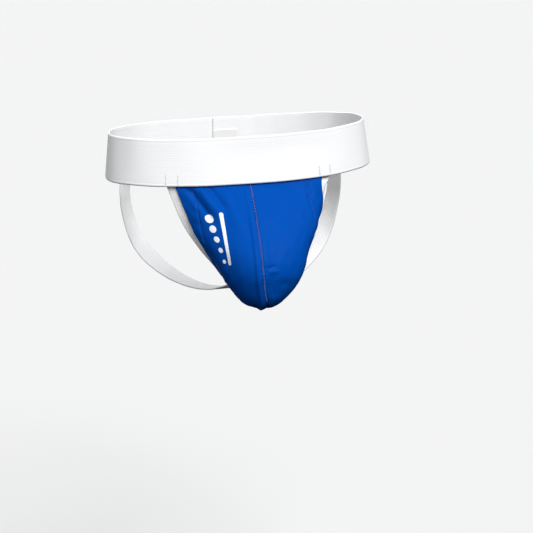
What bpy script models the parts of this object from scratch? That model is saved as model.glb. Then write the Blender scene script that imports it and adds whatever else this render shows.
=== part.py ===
"""Pouch-and-cup groin protector: waistband, two-panel pouch, leg elastics and a rigid cup.

Metres, +Z up, front towards -Y, +X to the wearer's left.
The origin is the centre of the waist loop, half way up the band.
"""
import math

import bmesh
import bpy
import numpy as np
from mathutils import Vector

# ---- driving dimensions -------------------------------------------------------------------
GAP = 0.0003                 # clearance between pieces that touch
LAYER_GAP = 0.0009           # clearance between curved layers, past the facets of both

BAND_WIDTH = 0.050
BAND_THICK = 0.0016
BAND_HALF_WIDTH_X = 0.1428   # half the loop's width, middle of the band
BAND_FRONT_DEPTH = 0.092
BAND_BACK_DEPTH = 0.100
BAND_SQUARENESS = 2.3        # superellipse exponent of the loop
BAND_FLARE = 0.02            # the lower edge is this much larger than the middle
BAND_RISE_LEFT = 0.005       # the loop is this much higher at the wearer's left than in front
BAND_RISE_RIGHT = 0.001
BAND_OVERLAP = 0.020         # length of the overlapped ends at the back
BAND_SEGMENTS = 112

FRONT_BARTACK_X = (-0.086, -0.074, 0.074, 0.086)
REAR_BARTACK_X = (-0.125, -0.113, 0.113, 0.125)
BARTACK_SIZE = (0.0016, 0.010, 0.0008)
BARTACK_Z = -0.0175
JOIN_STITCH_X = (-0.006, 0.006)
JOIN_STITCH_SIZE = (0.0020, 0.044, 0.0006)
BAR_ROUNDING = 0.3           # bevel of a thread bar, as a share of its thickness

LABEL_SIZE = (0.028, 0.020)
LABEL_THICK = 0.0006
LABEL_DEPTH = BAND_THICK * 1.5 + 2 * GAP + 0.0002

PANEL_THICK = 0.0012
SEAM_SHORT = 0.0006          # each panel stops this far from the seam's plane
TAPE_WIDTH = 0.020
TAPE_THICK = 0.0014
TAPE_SHOWS = 0.010           # width of tape left bare beside the panel
TAPE_DEPTH = PANEL_THICK + LAYER_GAP
SEAM_TAPE_HALF_WIDTH = 0.004
SEAM_TAPE_THICK = 0.0006
TUCK = 0.012                 # length of pouch and strap behind the band
PANEL_DEPTH_AT_BAND = BAND_THICK / 2 + LAYER_GAP
BAND_FOOT = -BAND_WIDTH / 2 - 0.0012      # height where the pouch leaves the band's inner face

# Pouch, as stations from the band's lower edge (0) down to the crotch (1).
SEAM_FORWARD = (0.0926, 0.127, 0.152, 0.156, 0.134, 0.054)
SEAM_HEIGHT = (-0.025, -0.059, -0.090, -0.1205, -0.1510, -0.151)
EDGE_ASIDE = (0.0885, 0.073, 0.0555, 0.0360, 0.019, 0.009)
EDGE_FORWARD = (0.0778, 0.082, 0.087, 0.083, 0.067, 0.046)
EDGE_HEIGHT = (-0.0232, -0.067, -0.097, -0.122, -0.140, -0.149)

# How a cross-section leaves its edge and meets the seam. The wearer's left is fuller; on the
# wearer's right the cloth lies flat beside the leg before it rises over the cup.
LEFT, RIGHT = 1, -1
EDGE_FULLNESS = {LEFT: (0.000, 0.001, 0.004, 0.011, 0.006, 0.000),
                 RIGHT: (-0.020, -0.016, -0.011, -0.004, 0.005, 0.000)}
EDGE_RISE = {LEFT: (0.30, 0.80, 0.80, 0.80, 0.80, 0.80),
             RIGHT: (0.30, 0.22, 0.21, 0.22, 0.38, 0.80)}
SEAM_FULLNESS = {LEFT: (0.050, 0.057, 0.055, 0.054, 0.020, 0.006),
                 RIGHT: (0.050, 0.056, 0.051, 0.046, 0.020, 0.006)}
SEAM_KEEL = {LEFT: (0.00, 0.16, 0.20, 0.20, 0.20, 0.10),
             RIGHT: (0.00, 0.20, 0.24, 0.24, 0.22, 0.10)}

BLEND_LENGTH = 0.2           # share of the pouch over which it settles on to the band's inner face
TUCK_V = 0.08                # station, above the band's lower edge, where the tucked part ends
ROW_STEP = 0.04              # spacing of the rows of every layer of the pouch
PANEL_COLUMNS = 13
PANEL_END = 0.92             # station where the panels end under the crotch
TAPE_NARROWS = (0.75, 0.95)  # stations between which the bare width of tape halves
TAPE_ON_POUCH_END = 0.84     # station where the tape leaves the pouch edge as the leg strap

# Leg strap beyond the pouch, wearer's left: centre of the tape, then the way from its outer to inner edge.
STRAP_ROUTE = (
    ((0.0140, -0.0540, -0.1408), (-0.40, -0.91, -0.05)),
    ((0.0170, -0.0330, -0.1478), (-0.86, -0.42, -0.04)),
    ((0.0330, -0.0060, -0.1545), (-0.90, 0.40, 0.00)),
    ((0.0580, 0.0290, -0.1535), (-0.80, 0.58, 0.05)),
    ((0.0860, 0.0570, -0.1380), (-0.66, 0.62, 0.28)),
    ((0.1080, 0.0730, -0.1130), (-0.52, 0.58, 0.60)),
    ((0.1190, 0.0760, -0.0820), (-0.58, 0.72, 0.26)),
    ((0.1220, 0.0690, -0.0520), (-0.60, 0.80, 0.06)),
)
STRAP_END_X = 0.1200         # where the strap meets the band
STRAP_END_HALF = 0.0068      # half of the strap's width there, measured along x
STRAP_ROWS_PER_SPAN = 4

LINING_STATIONS = (0.17, 0.80)            # the pocket's mouth, and its lower end
LINING_ROWS = 15
LINING_BULGE = -0.003        # forward if positive; it bows back towards the wearer
LINING_INSET = 0.0042        # the lining ends this far inside the pouch edge
LINING_THICK = 0.0010
BINDING_STATIONS = (0.115, 0.167)
BINDING_FORWARD = 0.0005
BINDING_THICK = 0.0020

# Tab under the crotch: forward, height, and how much its edges curl up, from front to back.
TAB_ROWS = ((0.084, -0.1556, 22), (0.070, -0.1556, 18), (0.054, -0.1545, 10),
            (0.038, -0.1517, 3), (0.022, -0.1537, 0))
TAB_HALF_WIDTH = 0.011
TAB_THICK = 0.0012

CUP_RIM_TOP = (0.0, -0.1010, -0.052)
CUP_RIM_BOTTOM = (0.0, -0.0985, -0.139)
CUP_HALF_WIDTH = 0.0362
CUP_TAPER = 0.27             # wider above, narrower below
CUP_DEPTH = 0.040
CUP_ROUNDNESS = 2.1
CUP_DROP = 0.017             # how far the front of the cup hangs below the rim's middle
CUP_THICK = 0.0028
CUP_SEGMENTS = (36, 20)
VENT_RADIUS = 0.0035
VENT_STEP = 0.016
VENT_ROWS = ((0.020, 2), (0.004, 3), (-0.012, 3), (-0.028, 2))      # height on the cup, vents
VENT_DRILL_LENGTH = 0.05
PAD_RADIUS = 0.0045
PAD_POINTS = 48

COLOURS = {
    "elastic_white": ((0.86, 0.86, 0.86), 0.85),
    "tape_white": ((0.80, 0.80, 0.80), 0.85),
    "satin_blue": ((0.005, 0.105, 0.62), 0.45),
    "mesh_white": ((0.78, 0.79, 0.80), 0.9),
    "cup_plastic": ((0.88, 0.88, 0.87), 0.35),
    "cup_rim": ((0.20, 0.21, 0.23), 0.6),
    "thread_white": ((0.90, 0.90, 0.90), 0.7),
    "label_white": ((0.92, 0.92, 0.90), 0.7),
}


# ---- shapes of the body the piece is worn on ----------------------------------------------
def signed_power(value, exponent):
    return math.copysign(abs(value) ** exponent, value)


def band_point(angle, z, depth=0.0):
    """Middle surface of the band, moved inwards by depth; angle 0 at +X, -90 degrees in front."""
    grow = 1.0 - BAND_FLARE * z / (BAND_WIDTH / 2)
    power = 2 / BAND_SQUARENESS
    c, s = math.cos(angle), math.sin(angle)
    reach = BAND_FRONT_DEPTH if s < 0 else BAND_BACK_DEPTH
    x = BAND_HALF_WIDTH_X * grow * signed_power(c, power)
    y = reach * grow * signed_power(s, power)
    way_x = abs(x / (BAND_HALF_WIDTH_X * grow)) ** (BAND_SQUARENESS - 1) / BAND_HALF_WIDTH_X
    way_y = abs(y / (reach * grow)) ** (BAND_SQUARENESS - 1) / reach
    out = Vector((math.copysign(way_x, x), math.copysign(way_y, y), 0)).normalized()
    rise = (BAND_RISE_LEFT if x > 0 else BAND_RISE_RIGHT) * (x / BAND_HALF_WIDTH_X) ** 2
    return Vector((x, y, z + rise)) - out * depth


def angle_at(x, z, front):
    """Angle round the loop where the band has this x, on its front or back half."""
    grow = 1.0 - BAND_FLARE * z / (BAND_WIDTH / 2)
    share = min(abs(x) / (BAND_HALF_WIDTH_X * grow), 1.0)
    angle = math.acos(share ** (BAND_SQUARENESS / 2))
    if x < 0:
        angle = math.pi - angle
    return -angle if front else angle


def band_at_x(x, z, depth, front):
    return band_point(angle_at(x, z, front), z, depth)


def spline(a, b, c, d, t):
    """Catmull-Rom curve from b (t = 0) to c (t = 1)."""
    return (2 * b + (c - a) * t + (2 * a - 5 * b + 4 * c - d) * t ** 2
            + (3 * b - a - 3 * c + d) * t ** 3) / 2


def station(values, v):
    """Smooth curve through equally spaced stations, v from 0 to 1, straight on outside them."""
    last = len(values) - 1
    place = v * last
    i = int(min(max(math.floor(place), 0), last - 1))
    t = place - i
    points = (2 * values[0] - values[1], *values, 2 * values[-1] - values[-2])
    a, b, c, d = points[i:i + 4]
    if t < 0:
        return b + (c - a) / 2 * t
    if t > 1:
        return c + (d - b) / 2 * (t - 1)
    return spline(a, b, c, d, t)


def loft_point(t, v, side):
    """Outer face of the worn pouch: t from 0 at its edge to 1 at the centre seam."""
    seam = Vector((0, -station(SEAM_FORWARD, v), station(SEAM_HEIGHT, v)))
    edge = Vector((station(EDGE_ASIDE, v), -station(EDGE_FORWARD, v), station(EDGE_HEIGHT, v)))
    rise = (seam - edge) * station(EDGE_RISE[side], v)
    near_edge = edge + Vector((station(EDGE_FULLNESS[side], v), rise.y, rise.z))
    fullness = station(SEAM_FULLNESS[side], v)
    near_seam = seam + Vector((fullness, fullness * station(SEAM_KEEL[side], v), 0))
    s = 1 - t
    point = s ** 3 * edge + 3 * s * s * t * near_edge + 3 * s * t * t * near_seam + t ** 3 * seam
    point.x *= side
    return point


def pouch_point(t, v, side):
    """Loft, fitted to the inner face of the band at the top and carried up behind it for v < 0."""
    top = loft_point(t, 0, side)
    if v <= 0:
        z = BAND_FOOT - v * TUCK / TUCK_V
        return band_at_x(top.x, z, PANEL_DEPTH_AT_BAND, front=True)
    fit = band_at_x(top.x, BAND_FOOT, PANEL_DEPTH_AT_BAND, front=True) - top
    return loft_point(t, v, side) + fit * max(0.0, 1 - v / BLEND_LENGTH) ** 2


def pouch_normal(t, v, side):
    step = 0.004
    t = min(max(t, step), 1 - step)
    across = pouch_point(t + step, v, side) - pouch_point(t - step, v, side)
    down = pouch_point(t, v + step, side) - pouch_point(t, v - step, side)
    return across.cross(down).normalized() * side


def section_places(v, side, count=60):
    """Distances along one section from its edge, with the t of each."""
    ts = np.linspace(0, 1, count)
    points = [pouch_point(float(t), v, side) for t in ts]
    steps = [0.0] + [(b - a).length for a, b in zip(points, points[1:])]
    return np.cumsum(steps), ts


def sheet_row(v, side, places, depth):
    """Points at distances from the edge along one section, sunk by depth."""
    runs, ts = section_places(v, side)
    row = []
    for place in places:
        t = float(np.interp(place, runs, ts))
        row.append(pouch_point(t, v, side) - pouch_normal(t, v, side) * depth)
    return row


# ---- building helpers ---------------------------------------------------------------------
def clear_scene():
    for item in list(bpy.data.objects):
        bpy.data.objects.remove(item, do_unlink=True)


def material(name):
    made = bpy.data.materials.get(name) or bpy.data.materials.new(name)
    colour, roughness = COLOURS[name]
    made.use_nodes = True
    shader = made.node_tree.nodes["Principled BSDF"]
    shader.inputs["Base Color"].default_value = (*colour, 1)
    shader.inputs["Roughness"].default_value = roughness
    shader.inputs["Metallic"].default_value = 0
    return made


def add_object(name, bm, material_name, parent):
    mesh = bpy.data.meshes.new(name)
    bm.to_mesh(mesh)
    bm.free()
    made = bpy.data.objects.new(name, mesh)
    bpy.context.collection.objects.link(made)
    mesh.materials.append(material(material_name))
    mesh.shade_smooth()
    mesh.set_sharp_from_angle(angle=math.radians(40))
    made.parent = parent
    return made


def sheet_object(name, rows, thick, material_name, parent, flip=False, twisted=False):
    """Sheet through rows of points: its outer face is the grid, its thickness lies inside."""
    bm = bmesh.new()
    made = bmesh.ops.create_grid(bm, x_segments=len(rows[0]) - 1, y_segments=len(rows) - 1, size=1.0)
    verts = sorted(made["verts"], key=lambda v: (round(v.co.y, 4), round(v.co.x, 4)))
    for vert, point in zip(verts, (p for row in rows for p in row)):
        vert.co = point
    if flip:
        bmesh.ops.reverse_faces(bm, faces=bm.faces)
    made = add_object(name, bm, material_name, parent)
    solid = made.modifiers.new("thickness", "SOLIDIFY")
    solid.thickness = thick
    solid.offset = -1
    solid.use_even_offset = not twisted


# ---- waistband ----------------------------------------------------------------------------
def band_rows():
    """One strip round the waist; its last stretch passes inside its first, at the back."""
    lap = BAND_OVERLAP / 2 / BAND_HALF_WIDTH_X
    start, end = math.pi / 2 - lap, 2.5 * math.pi + lap
    rows = []
    for angle in np.linspace(start, end, BAND_SEGMENTS):
        inside = min(max((angle - 2.5 * math.pi + 3 * lap) / (2 * lap), 0.0), 1.0)
        depth = (3 - 2 * inside) * inside ** 2 * (BAND_THICK + GAP) - BAND_THICK / 2
        rows.append([band_point(angle, z, depth) for z in np.linspace(BAND_WIDTH / 2, -BAND_WIDTH / 2, 4)])
    return rows


def bar_on_band(name, x, z, size, front, parent):
    """Rounded bar of thread, size = (along the band, up, thick), on the outer face of the band."""
    angle = angle_at(x, 0, front)
    place = band_point(angle, z, -BAND_THICK / 2 - GAP - size[2] / 2)
    along = (band_point(angle + 0.01, z) - band_point(angle - 0.01, z)).normalized()
    up = (band_point(angle, z + 0.01) - band_point(angle, z - 0.01)).normalized()
    out = along.cross(up)
    bm = bmesh.new()
    bmesh.ops.create_cube(bm, size=1.0)
    for vert in bm.verts:
        local = vert.co.copy()
        vert.co = place + along * local.x * size[0] + up * local.y * size[1] + out * local.z * size[2]
    bmesh.ops.recalc_face_normals(bm, faces=bm.faces)
    bmesh.ops.bevel(bm, geom=list(bm.edges), offset=size[2] * BAR_ROUNDING, segments=1, profile=0.5,
                    affect="EDGES", material=-1)
    add_object(name, bm, "thread_white", parent)


def build_waistband(parent):
    sheet_object("waistband", band_rows(), BAND_THICK, "elastic_white", parent)

    for number, x in enumerate(FRONT_BARTACK_X, start=1):
        bar_on_band(f"front_bartack_{number}", x, BARTACK_Z, BARTACK_SIZE, True, parent)
    for number, x in enumerate(REAR_BARTACK_X, start=1):
        bar_on_band(f"rear_bartack_{number}", x, BARTACK_Z, BARTACK_SIZE, False, parent)
    for number, x in enumerate(JOIN_STITCH_X, start=1):
        bar_on_band(f"back_join_stitch_{number}", x, 0.0, JOIN_STITCH_SIZE, False, parent)

    half_width, half_height = LABEL_SIZE[0] / 2, LABEL_SIZE[1] / 2
    rows = []
    for x in np.linspace(-half_width, half_width, 5):
        rows.append([band_at_x(x, z, LABEL_DEPTH, False) for z in np.linspace(-half_height, half_height, 3)])
    sheet_object("care_label", rows, LABEL_THICK, "label_white", parent)


# ---- pouch --------------------------------------------------------------------------------
def pouch_rows(start, stop):
    return np.arange(round(start / ROW_STEP), round(stop / ROW_STEP) + 1) * ROW_STEP


def panel_rows(side):
    """The bare width of tape narrows towards the crotch, where the panels close over it."""
    first, last = TAPE_NARROWS
    rows = []
    for v in pouch_rows(-TUCK_V, PANEL_END):
        start = TAPE_SHOWS * (1 - 0.5 * min(max((v - first) / (last - first), 0.0), 1.0))
        stop = section_places(v, side)[0][-1] - SEAM_SHORT
        rows.append(sheet_row(v, side, np.linspace(start, stop, PANEL_COLUMNS), 0))
    return rows


def strap_rows(side):
    """Tape from the waistband's front to its back; stretches on the pouch follow its curved face."""
    places = np.linspace(0, TAPE_WIDTH, 4)
    rows = [sheet_row(v, side, places, TAPE_DEPTH) for v in pouch_rows(-TUCK_V, TAPE_ON_POUCH_END)]
    lines = [(row[0], row[-1]) for row in (rows[-4], rows[-1])]
    for centre, way in STRAP_ROUTE:
        centre = Vector((centre[0] * side, *centre[1:]))
        reach = Vector((way[0] * side, *way[1:])).normalized() * TAPE_WIDTH / 2
        lines.append((centre - reach, centre + reach))
    for z in (-BAND_WIDTH / 2, -BAND_WIDTH / 2 + TUCK):
        ends = (STRAP_END_X + STRAP_END_HALF, STRAP_END_X - STRAP_END_HALF)
        lines.append(tuple(band_at_x(x * side, z, PANEL_DEPTH_AT_BAND, False) for x in ends))
    lines.append(lines[-1])
    for near in zip(lines, lines[1:], lines[2:], lines[3:]):
        for t in np.linspace(0, 1, STRAP_ROWS_PER_SPAN + 1)[1:]:
            outer, inner = (spline(*(line[k] for line in near), float(t)) for k in (0, 1))
            centre = (outer + inner) / 2
            reach = (inner - outer).normalized() * TAPE_WIDTH / 2
            rows.append([centre + reach * share for share in (-1, -1 / 3, 1 / 3, 1)])
    return rows


def seam_tape_rows():
    rows = []
    for v in pouch_rows(0, PANEL_END):
        halves = []
        for side in (LEFT, RIGHT):
            length = section_places(v, side)[0][-1]
            places = (length - SEAM_TAPE_HALF_WIDTH, length - SEAM_TAPE_HALF_WIDTH / 2)
            halves.append(sheet_row(v, side, places, TAPE_DEPTH))
        left, right = halves
        ridge = (sheet_row(v, LEFT, (1,), TAPE_DEPTH)[0] + sheet_row(v, RIGHT, (1,), TAPE_DEPTH)[0]) / 2
        rows.append([*left, ridge, *reversed(right)])
    return rows


def lining_row(v, forward=0.0, count=13):
    """Across the back of the pocket, from one edge of the pouch to the other."""
    left, right = (pouch_point(0, v, side) - pouch_normal(0, v, side) * LINING_INSET for side in (LEFT, RIGHT))
    row = []
    for share in np.linspace(0, 1, count):
        bulge = LINING_BULGE * (1 - (1 - 2 * share) ** 2)
        row.append(left.lerp(right, share) + Vector((0, -bulge - forward, 0)))
    return row


def build_pouch(parent):
    for name, side in (("left", LEFT), ("right", RIGHT)):
        flip = side == RIGHT
        sheet_object(f"pouch_panel_{name}", panel_rows(side), PANEL_THICK, "satin_blue", parent, flip)
        sheet_object(f"leg_elastic_{name}", strap_rows(side), TAPE_THICK, "tape_white", parent, flip, True)
    sheet_object("pouch_seam_tape", seam_tape_rows(), SEAM_TAPE_THICK, "tape_white", parent)

    rows = [lining_row(v) for v in np.linspace(*LINING_STATIONS, LINING_ROWS)]
    sheet_object("pocket_lining", rows, LINING_THICK, "mesh_white", parent)
    rows = [lining_row(v, BINDING_FORWARD) for v in np.linspace(*BINDING_STATIONS, 3)]
    sheet_object("pocket_mouth_binding", rows, BINDING_THICK, "tape_white", parent)

    rows = []
    for forward, height, curl in TAB_ROWS:
        across = np.linspace(TAB_HALF_WIDTH, -TAB_HALF_WIDTH, 7)
        rows.append([Vector((x, -forward, height + curl * x * x)) for x in across])
    sheet_object("base_tab", rows, TAB_THICK, "tape_white", parent)


# ---- cup ----------------------------------------------------------------------------------
def cup_frame():
    top, bottom = Vector(CUP_RIM_TOP), Vector(CUP_RIM_BOTTOM)
    up = (top - bottom).normalized()
    forward = Vector((1, 0, 0)).cross(up)
    return (top + bottom) / 2, up, forward, (top - bottom).length / 2


def cup_outline(angle, inset=0.0):
    """Rim of the cup: an egg, wide end up."""
    middle, up, _, half_height = cup_frame()
    x = (CUP_HALF_WIDTH - inset) * math.cos(angle) * (1 + CUP_TAPER * math.sin(angle))
    return middle + Vector((x, 0, 0)) + up * (half_height - inset) * math.sin(angle)


def add_dome(bm, inset):
    """One face of the cup's wall, inset metres inside its outer face; returns the rim's edges."""
    middle, up, forward, _ = cup_frame()
    made = bmesh.ops.create_uvsphere(bm, u_segments=CUP_SEGMENTS[0], v_segments=CUP_SEGMENTS[1], radius=1.0)
    lower = [v for v in made["verts"] if v.co.z < -0.001]
    bmesh.ops.delete(bm, geom=lower, context="VERTS")
    verts = [v for v in made["verts"] if v.is_valid]
    for vert in verts:
        angle = math.atan2(vert.co.y, vert.co.x)
        share = min(math.hypot(vert.co.x, vert.co.y), 1.0)
        height = (CUP_DEPTH - inset) * (1 - share ** CUP_ROUNDNESS) ** (1 / CUP_ROUNDNESS)
        drop = CUP_DROP * height / CUP_DEPTH
        vert.co = middle + (cup_outline(angle, inset) - middle) * share + forward * height - up * drop
    if inset:
        bmesh.ops.reverse_faces(bm, faces=list({f for v in verts for f in v.link_faces}))
    return list({e for v in verts for e in v.link_edges if e.is_boundary})


def add_vent_drills(bm):
    middle, up, forward, _ = cup_frame()
    turn = Vector((0, 0, 1)).rotation_difference(forward).to_matrix()
    for height, count in VENT_ROWS:
        for i in range(count):
            aside = Vector(((i - (count - 1) / 2) * VENT_STEP, 0, 0))
            made = bmesh.ops.create_cone(bm, cap_ends=True, segments=12, radius1=VENT_RADIUS,
                                         radius2=VENT_RADIUS, depth=VENT_DRILL_LENGTH)
            bmesh.ops.rotate(bm, verts=made["verts"], matrix=turn)
            bmesh.ops.translate(bm, verts=made["verts"], vec=middle + forward * CUP_DEPTH + up * height + aside)


def build_cup(parent):
    bm = bmesh.new()
    outer_rim, inner_rim = (add_dome(bm, inset) for inset in (0.0, CUP_THICK))
    bmesh.ops.bridge_loops(bm, edges=outer_rim + inner_rim)
    shell = add_object("cup_shell", bm, "cup_plastic", parent)

    bm = bmesh.new()
    add_vent_drills(bm)
    cutter = add_object("vent_cutter", bm, "cup_plastic", parent)
    cutter.hide_render = True
    cutter.display_type = "WIRE"
    holes = shell.modifiers.new("vents", "BOOLEAN")
    holes.operation = "DIFFERENCE"
    holes.solver = "EXACT"
    holes.object = cutter

    forward = cup_frame()[2]
    ring = bpy.data.curves.new("cup_edge_pad", "CURVE")
    ring.dimensions = "3D"
    ring.bevel_depth = PAD_RADIUS
    ring.bevel_resolution = 2
    path = ring.splines.new("POLY")
    path.points.add(PAD_POINTS - 1)
    for point, angle in zip(path.points, np.linspace(0, 2 * math.pi, PAD_POINTS, endpoint=False)):
        point.co = (*(cup_outline(angle, CUP_THICK / 2) - forward * (PAD_RADIUS + GAP)), 1)
    path.use_cyclic_u = True
    path.use_smooth = True
    pad = bpy.data.objects.new("cup_edge_pad", ring)
    bpy.context.collection.objects.link(pad)
    ring.materials.append(material("cup_rim"))
    pad.parent = parent


def empty(name):
    made = bpy.data.objects.new(name, None)
    bpy.context.collection.objects.link(made)
    return made


clear_scene()
supporter = empty("supporter")
cup = empty("cup")
cup.parent = supporter
build_waistband(supporter)
build_pouch(supporter)
build_cup(cup)
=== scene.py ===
import math

import bmesh
import bpy
import numpy as np
from mathutils import Matrix, Vector


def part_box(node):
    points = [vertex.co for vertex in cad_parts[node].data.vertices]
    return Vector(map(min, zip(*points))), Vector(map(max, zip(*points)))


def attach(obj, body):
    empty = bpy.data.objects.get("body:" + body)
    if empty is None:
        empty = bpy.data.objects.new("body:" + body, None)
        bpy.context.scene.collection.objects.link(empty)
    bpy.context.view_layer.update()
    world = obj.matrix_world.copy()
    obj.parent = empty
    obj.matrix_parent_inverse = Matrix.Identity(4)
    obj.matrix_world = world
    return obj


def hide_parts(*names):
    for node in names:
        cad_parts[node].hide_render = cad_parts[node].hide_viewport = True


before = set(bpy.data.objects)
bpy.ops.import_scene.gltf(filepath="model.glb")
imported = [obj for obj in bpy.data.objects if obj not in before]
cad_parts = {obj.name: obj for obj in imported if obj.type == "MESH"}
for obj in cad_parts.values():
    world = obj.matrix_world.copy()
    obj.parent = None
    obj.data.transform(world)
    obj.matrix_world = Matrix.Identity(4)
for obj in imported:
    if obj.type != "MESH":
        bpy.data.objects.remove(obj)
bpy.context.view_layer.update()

scene = bpy.context.scene
scene.view_settings.view_transform = "Standard"

# ==== Camera ================================================================================
# A long portrait lens 1.8 m away, a little above the piece and to the wearer's right of it.
CAMERA_TURN = math.radians(-8.8)
CAMERA_HEIGHT = math.radians(11.94)
CAMERA_ROLL = math.radians(-2.14)
CAMERA_DISTANCE = 1.8
CAMERA_LENS = 110.2
AIM_ASIDE = 0.02746
AIM_UP = -0.1308

camera_back = Vector((math.sin(CAMERA_TURN) * math.cos(CAMERA_HEIGHT),
                      -math.cos(CAMERA_TURN) * math.cos(CAMERA_HEIGHT),
                      math.sin(CAMERA_HEIGHT)))
camera_right = Vector((math.cos(CAMERA_TURN), math.sin(CAMERA_TURN), 0))
camera_up = camera_back.cross(camera_right)
aim = camera_right * AIM_ASIDE + camera_up * AIM_UP
rolled = Matrix.Rotation(CAMERA_ROLL, 3, camera_back)
axes = (rolled @ camera_right, rolled @ camera_up, camera_back)

camera = bpy.data.objects.new("camera", bpy.data.cameras.new("camera"))
camera.data.lens = CAMERA_LENS
camera.data.clip_end = 100
camera.matrix_world = (Matrix.Translation(aim + camera_back * CAMERA_DISTANCE)
                       @ Matrix(axes).transposed().to_4x4())
scene.collection.objects.link(camera)
scene.camera = camera

# ==== Waistband =============================================================================
# One strip of 50 mm knitted elastic: white polyester yarn over rubber, ribbed along its length,
# with a firm selvedge at both edges. Its ends overlap at the centre back and are sewn flat.
BAND_WIDTH = 0.050
BAND_THICK = 0.0016
BAND_SQUARE = 2.3            # how square the worn loop is; 2 would be an ellipse
BAND_FLARE = 0.02            # the lower edge is this share longer than the middle
BAND_RISE_LEFT = 0.005       # it sits this much higher at the wearer's left than in front
BAND_RISE_RIGHT = 0.001
BAND_LAP = 0.020
BAND_WHITE = (0.88, 0.885, 0.89)
RIB_PITCH = 0.0024
SELVEDGE = 0.0031            # the groove beside the selvedge is this far from the edge

band_low, band_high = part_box("waistband")
loop_half_width = (band_high[0] - BAND_THICK / 2) / (1 + BAND_FLARE)
loop_front = (-band_low[1] - BAND_THICK / 2) / (1 + BAND_FLARE)
loop_back = (band_high[1] - BAND_THICK / 2) / (1 + BAND_FLARE)


def band_point(angle, z, depth=0.0):
    """Middle surface of the worn band, moved inwards by depth; -90 degrees is the front."""
    grow = 1 - BAND_FLARE * z / (BAND_WIDTH / 2)
    c, s = np.cos(angle), np.sin(angle)
    reach = np.where(s < 0, loop_front, loop_back)
    x = loop_half_width * grow * np.sign(c) * np.abs(c) ** (2 / BAND_SQUARE)
    y = reach * grow * np.sign(s) * np.abs(s) ** (2 / BAND_SQUARE)
    way_x = np.sign(x) * np.abs(x / (loop_half_width * grow)) ** (BAND_SQUARE - 1) / loop_half_width
    way_y = np.sign(y) * np.abs(y / (reach * grow)) ** (BAND_SQUARE - 1) / reach
    size = np.hypot(way_x, way_y)
    rise = np.where(x > 0, BAND_RISE_LEFT, BAND_RISE_RIGHT) * (x / loop_half_width) ** 2
    return np.stack([x - depth * way_x / size, y - depth * way_y / size, z + rise], -1)


def angle_at(x, z, front):
    """Angle round the loop where the band has this x, on its front or back half."""
    share = np.minimum(np.abs(x) / (loop_half_width * (1 - BAND_FLARE * z / (BAND_WIDTH / 2))), 1)
    angle = np.arccos(share ** (BAND_SQUARE / 2))
    angle = np.where(np.asarray(x) < 0, math.pi - angle, angle)
    return -angle if front else angle


def bump(distance, width):
    """1 at distance 0, fading to 0 over about twice the width."""
    return np.exp(-(distance / width) ** 2)


def ease(value):
    value = np.clip(value, 0, 1)
    return value * value * (3 - 2 * value)


def soft_noise(a, b, seed, waves=5):
    """Smooth seeded variation, about -1 to 1, over two lengths counted in wavelengths."""
    rng = np.random.default_rng(seed)
    total = np.zeros(np.broadcast(a, b).shape)
    for _ in range(waves):
        way, pace, shift = rng.uniform(0, 2 * math.pi), rng.uniform(0.6, 1.7), rng.uniform(0, 2 * math.pi)
        total = total + np.sin(2 * math.pi * pace * (a * math.cos(way) + b * math.sin(way)) + shift)
    return total * 0.8 / math.sqrt(waves / 2)


def unit(vectors):
    return vectors / np.maximum(np.linalg.norm(vectors, axis=-1, keepdims=True), 1e-12)


def grid_normals(points):
    """Normals of a grid of points, along (next column) x (next row)."""
    return unit(np.cross(np.gradient(points, axis=1), np.gradient(points, axis=0)))


def run_along(points):
    """Distance along the middle column of a grid, from its first row."""
    middle = points[:, points.shape[1] // 2]
    return np.concatenate([[0], np.cumsum(np.linalg.norm(np.diff(middle, axis=0), axis=1))])


def finish_piece(name, bm, body, material):
    """Turns a bmesh into a smooth piece that rides on a body and has one material."""
    mesh = bpy.data.meshes.new(name)
    bm.to_mesh(mesh)
    bm.free()
    piece = bpy.data.objects.new(name, mesh)
    scene.collection.objects.link(piece)
    mesh.materials.append(material)
    mesh.shade_smooth()
    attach(piece, body)
    return piece


def cloth(name, points, uv, thick, material, flip=False, even=True):
    """Sheet whose outer face runs through a grid of points; its thickness lies behind that face."""
    rows, columns = points.shape[:2]
    bm = bmesh.new()
    bmesh.ops.create_grid(bm, x_segments=columns - 1, y_segments=rows - 1, size=0.5)
    layer = bm.loops.layers.uv.new("cloth")
    places = {v: (round((v.co.y + 0.5) * (rows - 1)), round((v.co.x + 0.5) * (columns - 1)))
              for v in bm.verts}
    for face in bm.faces:
        for loop in face.loops:
            loop[layer].uv = uv[places[loop.vert]]
    for vert, place in places.items():
        vert.co = points[place]
    if flip:
        bmesh.ops.reverse_faces(bm, faces=bm.faces)
    piece = finish_piece(name, bm, "supporter", material)
    wall = piece.modifiers.new("thickness", "SOLIDIFY")
    wall.thickness = thick
    wall.offset = -1
    wall.use_even_offset = even
    return piece


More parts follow.
